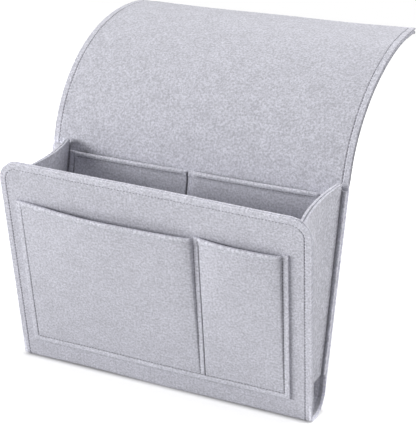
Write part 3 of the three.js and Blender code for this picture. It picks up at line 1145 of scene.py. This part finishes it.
# %% One stitch
STITCH_PITCH = LINK / 13
STITCH_LENGTH = 2.5 * MM
THREAD_RADIUS = 0.36 * MM
STITCH_SINK = 0.45 * MM
STITCH_SIDES = 6
TIP_SHARE = 0.2
TIP_WIDTH = 0.45
TIP_DIP = 0.7 * THREAD_RADIUS

bpy.ops.object.select_all(action="DESELECT")
bpy.ops.mesh.primitive_cylinder_add(
    vertices=STITCH_SIDES, radius=THREAD_RADIUS, depth=STITCH_LENGTH * (1 - 2 * TIP_SHARE),
    end_fill_type="NGON", rotation=(0, math.pi / 2, 0),
)
stitch = bpy.context.object
bpy.ops.object.transform_apply(location=False, rotation=True, scale=False)
bpy.ops.object.mode_set(mode="EDIT")
bpy.ops.mesh.select_all(action="DESELECT")
bpy.ops.object.mode_set(mode="OBJECT")
for face in stitch.data.polygons:
    face.select = len(face.vertices) == STITCH_SIDES
bpy.ops.object.mode_set(mode="EDIT")
bpy.ops.mesh.extrude_faces_move(TRANSFORM_OT_shrink_fatten={"value": -STITCH_LENGTH * TIP_SHARE})
bpy.ops.object.mode_set(mode="OBJECT")
stitch_points = points_of(stitch)
tips = np.abs(stitch_points[:, 0]) > STITCH_LENGTH * 0.4
stitch_points[tips, 1:] *= TIP_WIDTH
stitch_points[tips, 2] -= TIP_DIP
stitch_faces = [list(face.vertices) for face in stitch.data.polygons]
bpy.data.objects.remove(stitch)
print("one stitch:", len(stitch_points), "points,", len(stitch_faces), "faces")


# %% Laying a row of stitches
def spots_along(face, path):
    """Evenly spaced places along a path on the felt, and the path's points just ahead and behind."""
    path = np.array(path, float)
    runs = np.linalg.norm(np.diff(face(*path.T, 0.0), axis=0), axis=1)
    marks = np.concatenate([[0], np.cumsum(runs)])
    count = max(1, round(marks[-1] / STITCH_PITCH))
    middle = (np.arange(count) + 0.5) * marks[-1] / count
    spots = []
    for mark in (middle, middle + MM / 2, middle - MM / 2):
        spots.append(np.stack([np.interp(mark, marks, path[:, k]) for k in (0, 1)], axis=1))
    return spots


def unit(v):
    return v / np.linalg.norm(v, axis=1)[:, None]


def stitch_row(face, path):
    """The points of every stitch in a row, laid on the felt whose face is given."""
    place, ahead, behind = spots_along(face, path)
    spot = face(*place.T, STITCH_SINK)
    along = unit(face(*ahead.T, STITCH_SINK) - face(*behind.T, STITCH_SINK))
    out = unit(face(*place.T, 0.0) - face(*place.T, MM))
    aside = unit(np.cross(out, along))
    x, y, z = (stitch_points[:, k][None, :, None] for k in range(3))
    return (spot[:, None] + x * along[:, None] + y * aside[:, None] + z * out[:, None]).reshape(-1, 3)


def sew(name, rows, nodes=()):
    """One piece of thread: the stitches of one or more rows."""
    points = np.concatenate([stitch_row(face, path) for face, path in rows])
    size = len(stitch_points)
    faces = [[k + first for k in face] for first in range(0, len(points), size) for face in stitch_faces]
    mesh = bpy.data.meshes.new(name)
    mesh.from_pydata(points.tolist(), [], faces)
    mesh.shade_smooth()
    mesh.materials.append(thread_grey)
    thread = bpy.data.objects.new(name, mesh)
    bpy.context.scene.collection.objects.link(thread)
    if nodes:
        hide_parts(*nodes)
    print(name, len(points) // size, "stitches")
    return thread


print("stitches lie", round(STITCH_PITCH / MM, 2), "mm apart")

# %% Rows on the pockets
for name, pocket in pockets.items():
    face = pocket_face(name)
    for row, path in pocket_rows(pocket).items():
        if "mouth" in row:
            node = pocket["mouth_nodes"][0 if "left" in row else 1]
        else:
            node = f"{name}_{row}_thread"
        points = np.linspace(path[0], path[1], 60)
        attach(sew(f"{node}_stitches", [(face, points)], [node]), "box")

# %% [markdown]
# ## The row along the rim
# A lockstitch shows on both faces of the felt, so this row is laid twice. On the outside it goes round the
# front panel, under the bottom, up the back and on along the flap. On the inside the gussets' flanges
# cover it, so there it runs on them. One long thread couldn't follow the flap, so it is cut at the same
# places as the flap's sheets.

# %% Rows along the rim
LINING_STITCHES = 9


def rim_path(end):
    """Round the front panel's outline, from the flap on the left to the flap on the right."""
    radius = CORNER - ROW_INSET
    turns = np.linspace(0, math.pi / 2, 12)
    corner = np.stack([HALF - CORNER + radius * np.cos(turns), CORNER - radius * np.sin(turns)], axis=1)
    side = np.stack([np.full(60, HALF - ROW_INSET), np.linspace(end, CORNER, 60)], axis=1)
    right = np.concatenate([side[:-1], corner])
    return np.concatenate([right * [-1, 1], right[::-1]])


def outer_face(x, t, sink):
    return strip_point(x, t, sink - fluffed_tip(x, t))


def lining_face(x, t, sink):
    return strip_point(x, t, WALL - sink)


def side_rows(start, end):
    rows = []
    for x in (ROW_INSET - HALF, HALF - ROW_INSET):
        rows.append(np.stack([np.full(20, x), np.linspace(start, end, 20)], axis=1))
    return rows


root_end = CREASE_T + LINK / 2
inside_top = [(CORNER * 1.2 - HALF, ROW_INSET), (HALF - CORNER * 1.2, ROW_INSET)]
rim_rows = [(outer_face, rim_path(root_end)), (lining_face, np.linspace(*inside_top, 40))]
root_rows = side_rows(root_end - LINING_STITCHES * STITCH_PITCH, root_end)
rim_rows += [(lining_face, path) for path in root_rows]
bend_at_crease(sew("front_rim_stitches", rim_rows, ["front_rim_thread"]))

# %% Rows along the flap
for link in range(1, FLAP_LINKS + 1):
    start = CREASE_T + (link - 0.5) * LINK
    paths = side_rows(start, min(start + LINK, STRIP_END - ROW_INSET))
    if link == FLAP_LINKS:
        end_row = STRIP_END - ROW_INSET
        paths.append(np.linspace((ROW_INSET - HALF, end_row), (HALF - ROW_INSET, end_row), 40))
    rows = [(face, path) for path in paths for face in (outer_face, lining_face)]
    follow_flap(sew(f"flap_stitches_{link}", rows), link)

# %% Rows on the gussets' flanges
rises = np.linspace(0.02, 0.97, 40)
for label, form in gusset_forms.items():
    face = gusset_face(form, "outer")
    rows = [(face, np.stack([np.full(40, FLANGE_ROW), rises], axis=1))]
    flange = form["low"] + (form["top"] - form["low"]) * rises
    if flange.min() > ROW_INSET:
        share = (flange - ROW_INSET) / (flange - HALF + FLANGE_EDGE_X)
        rows.append((face, np.stack([4 + share, rises], axis=1)))
    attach(sew(f"{label}_flange_stitches", rows), "box")

# %% [markdown]
# ## Floor, light and camera
# The caddy stands on a plain pale floor in front of a white background. A wide, low lamp shines from the
# front left, as a large softbox would. A second one behind on the right lights the right side and the
# flap's top, and a weak one hangs above. A floor that is white only by its lamps would need so much light
# that the felt would bleach. So the floor is grey to every ray but the camera's, to which it adds
# brightness of its own. That brightness fades out near the foot, which paints a dark band there on top
# of the real shadow. The camera stands a little to the right of the caddy and above it, at the
# photograph's angle.

# %% Nodes for the floor and the background
FOOT_TRIM_X = 5 * MM
FOOT_TRIM_Y = 1.5 * MM


def camera_sees(nodes, links):
    """1 for rays that show the background to the camera, also by reflection or through glass."""
    path = nodes.new("ShaderNodeLightPath")
    either = path.outputs["Is Camera Ray"]
    for name in ("Is Glossy Ray", "Is Transmission Ray"):
        larger = nodes.new("ShaderNodeMath")
        larger.operation = "MAXIMUM"
        links.new(either, larger.inputs[0])
        links.new(path.outputs[name], larger.inputs[1])
        either = larger.outputs["Value"]
    return either


def vector_step(nodes, links, operation, *values):
    """A vector calculation on values that are either links or constants."""
    step = nodes.new("ShaderNodeVectorMath")
    step.operation = operation
    for socket, value in zip(step.inputs, values):
        if isinstance(value, tuple):
            socket.default_value = value
        else:
            links.new(value, socket)
    return step.outputs["Value" if operation == "LENGTH" else "Vector"]


def ranged(nodes, links, distance, near, far, low, high):
    """Eases from low at the near distance to high at the far one."""
    span = nodes.new("ShaderNodeMapRange")
    span.interpolation_type = "SMOOTHSTEP"
    for name, value in (("From Min", near), ("From Max", far), ("To Min", low), ("To Max", high)):
        span.inputs[name].default_value = value
    links.new(distance, span.inputs["Value"])
    return span.outputs["Result"]


def from_foot(nodes, links):
    """How far a point of the floor lies from the caddy's foot."""
    place = nodes.new("ShaderNodeTexCoord").outputs["Object"]
    foot_middle = (0.0, -0.5 * BASE_DEPTH, 0.0)
    foot_half = (HALF - FOOT_TRIM_X, 0.5 * BASE_DEPTH - FOOT_TRIM_Y, 1.0)
    away = vector_step(nodes, links, "SUBTRACT", place, foot_middle)
    away = vector_step(nodes, links, "ABSOLUTE", away)
    away = vector_step(nodes, links, "SUBTRACT", away, foot_half)
    away = vector_step(nodes, links, "MAXIMUM", away, (0.0, 0.0, 0.0))
    return vector_step(nodes, links, "LENGTH", away)


print("the caddy's foot is", round(2 * HALF / MM), "x", round(BASE_DEPTH / MM), "mm")

# %% Floor
FLOOR_SIZE = 12
FLOOR_GREY = 0.7
FLOOR_DROP = 0.2 * MM
SHADOW_START = -3 * MM
SHADOW_END = 11 * MM
NEAR_LIFT = 0.66
NEAR_LIFT_END = 0.5

bpy.ops.object.select_all(action="DESELECT")
bpy.ops.mesh.primitive_plane_add(size=FLOOR_SIZE, location=(0, 0, FLOOR_Z - FLOOR_DROP))
floor = bpy.context.object
floor.name = "floor"

floor_finish, nodes, links, shader = new_finish("pale_floor")
shader.inputs["Base Color"].default_value = (FLOOR_GREY, FLOOR_GREY, FLOOR_GREY, 1)
shader.inputs["Roughness"].default_value = 0.9
shader.inputs["Specular IOR Level"].default_value = 0.0
shader.inputs["Emission Color"].default_value = (*WHITE, 1)
distance = from_foot(nodes, links)
# Painted shadow: near the foot the floor loses its camera-only brightness, even where no light is blocked.
shadow = ranged(nodes, links, distance, SHADOW_START, SHADOW_END, 0.0, 1.0)
near_lift = ranged(nodes, links, distance, 0.0, NEAR_LIFT_END, NEAR_LIFT, 1.0)
lift = camera_sees(nodes, links)
for share in (shadow, near_lift):
    product = nodes.new("ShaderNodeMath")
    product.operation = "MULTIPLY"
    links.new(lift, product.inputs[0])
    links.new(share, product.inputs[1])
    lift = product.outputs["Value"]
links.new(lift, shader.inputs["Emission Strength"])
floor.data.materials.append(floor_finish)
print("floor at", round(floor.location.z, 4), "m, its shadow fades within", round(SHADOW_END / MM), "mm")

# %% Background
ROOM_LIGHT = 0.17

world = bpy.data.worlds.new("studio")
bpy.context.scene.world = world
world.use_nodes = True
nodes, links = world.node_tree.nodes, world.node_tree.links
strength = nodes.new("ShaderNodeMapRange")
strength.inputs["To Min"].default_value = ROOM_LIGHT
strength.inputs["To Max"].default_value = 1.0
links.new(camera_sees(nodes, links), strength.inputs["Value"])
nodes["Background"].inputs["Color"].default_value = (*WHITE, 1)
links.new(strength.outputs["Result"], nodes["Background"].inputs["Strength"])
print("background: white to the camera,", ROOM_LIGHT, "as room light")

# %% Soft lamps
LAMP_TARGET = Vector((0, -0.03, 0.02))


def softbox(name, place, width, height, watts):
    """A flat rectangular lamp that shines at the caddy's middle."""
    bpy.ops.object.light_add(type="AREA", location=place)
    lamp = bpy.context.object
    lamp.name = name
    lamp.data.shape = "RECTANGLE"
    lamp.data.size = width
    lamp.data.size_y = height
    lamp.data.energy = watts
    aim = LAMP_TARGET - Vector(place)
    lamp.rotation_mode = "QUATERNION"
    lamp.rotation_quaternion = aim.to_track_quat("-Z", "Y")
    print(name, "of", watts, "W,", round(aim.length, 2), "m away")


softbox("key_light", place=(-2.6, -2.25, 0.33), width=3.2, height=1.1, watts=126)
softbox("back_light", place=(1.55, 1.05, 1.37), width=1.2, height=1.2, watts=36)
softbox("top_light", place=(0.0, -0.1, 2.2), width=1.4, height=1.4, watts=16)

# %% Camera
IMAGE_HEIGHT = 425
FOCAL_PIXELS = 1196.8
CAMERA_AZIMUTH = math.radians(22.24)
CAMERA_ELEVATION = math.radians(12.53)
CAMERA_ROLL = math.radians(5.33)
CAMERA_DISTANCE = 1.1512
CAMERA_TARGET = Vector((0.0343, -0.04, 0.0645))

bpy.ops.object.camera_add()
camera = bpy.context.object
backwards = Vector((
    math.sin(CAMERA_AZIMUTH) * math.cos(CAMERA_ELEVATION),
    -math.cos(CAMERA_AZIMUTH) * math.cos(CAMERA_ELEVATION),
    math.sin(CAMERA_ELEVATION),
))
turn = (-backwards).to_track_quat("-Z", "Y").to_matrix() @ Matrix.Rotation(CAMERA_ROLL, 3, "Z")
camera.rotation_mode = "QUATERNION"
camera.rotation_quaternion = turn.to_quaternion()
camera.location = CAMERA_TARGET + backwards * CAMERA_DISTANCE
camera.data.sensor_width = 36
camera.data.lens = FOCAL_PIXELS * camera.data.sensor_width / IMAGE_HEIGHT
bpy.context.scene.camera = camera
bpy.context.scene.view_settings.view_transform = "Standard"
print("camera at", [round(v, 4) for v in camera.location])
